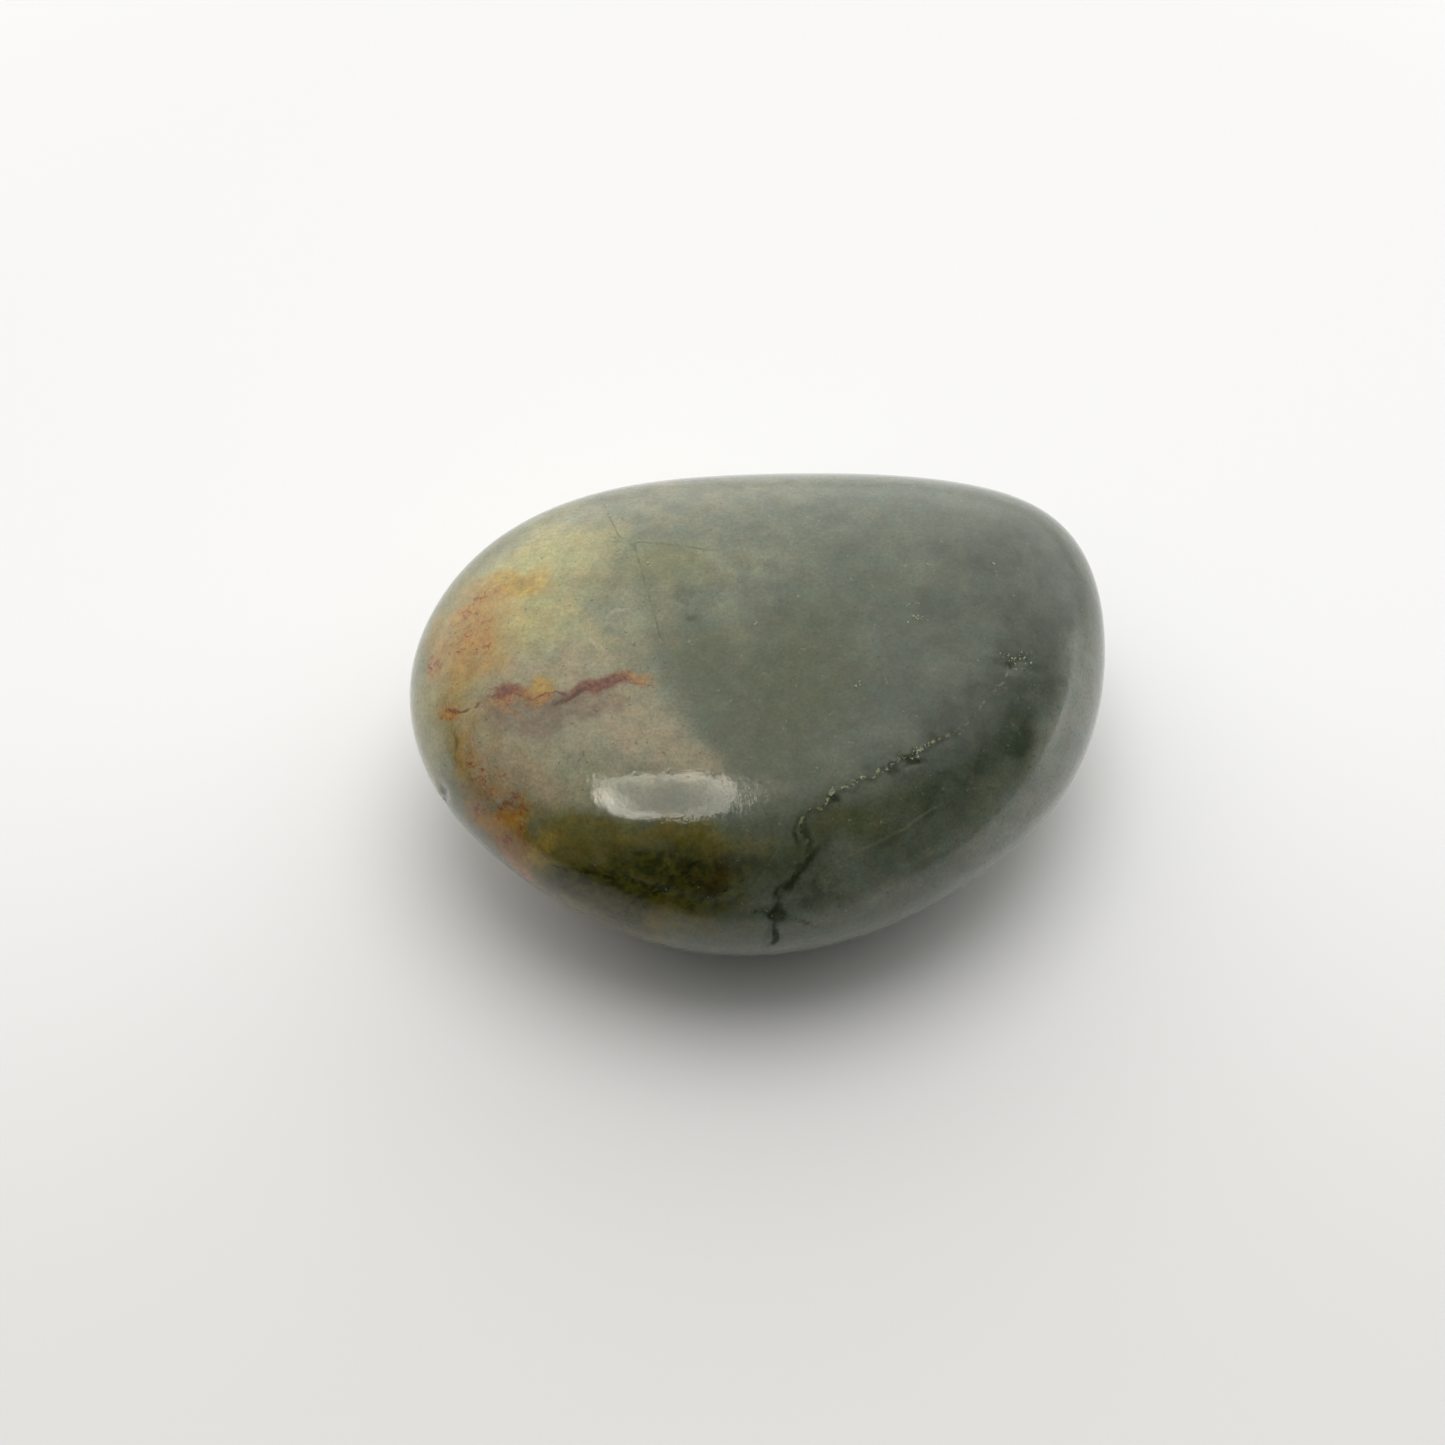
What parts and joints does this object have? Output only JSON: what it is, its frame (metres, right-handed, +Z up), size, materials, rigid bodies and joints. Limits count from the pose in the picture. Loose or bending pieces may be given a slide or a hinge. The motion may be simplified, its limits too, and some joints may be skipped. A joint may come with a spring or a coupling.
{
  "type": "tumbled stone",
  "caption": "Smooth, polished pebble of green-grey chalcedony with rust and moss-green markings, a broad domed top and a small flat spot to rest on.",
  "frame": {"origin": "under the middle of the stone's box, on the surface it rests on", "axes": "+X along the stone's length, -Y the side nearest the picture's camera, +Z up out of the rest spot through the domed top"},
  "size_m": [0.0346, 0.027, 0.0161],
  "materials": {
    "polished_stone": "tumbled polish: glossy and slightly translucent, green-grey with cream, rust-orange and moss-green mineral markings and a healed fracture seam"
  },
  "bodies": {
    "root": {"stone": "polished_stone"}
  },
  "joints": []
}
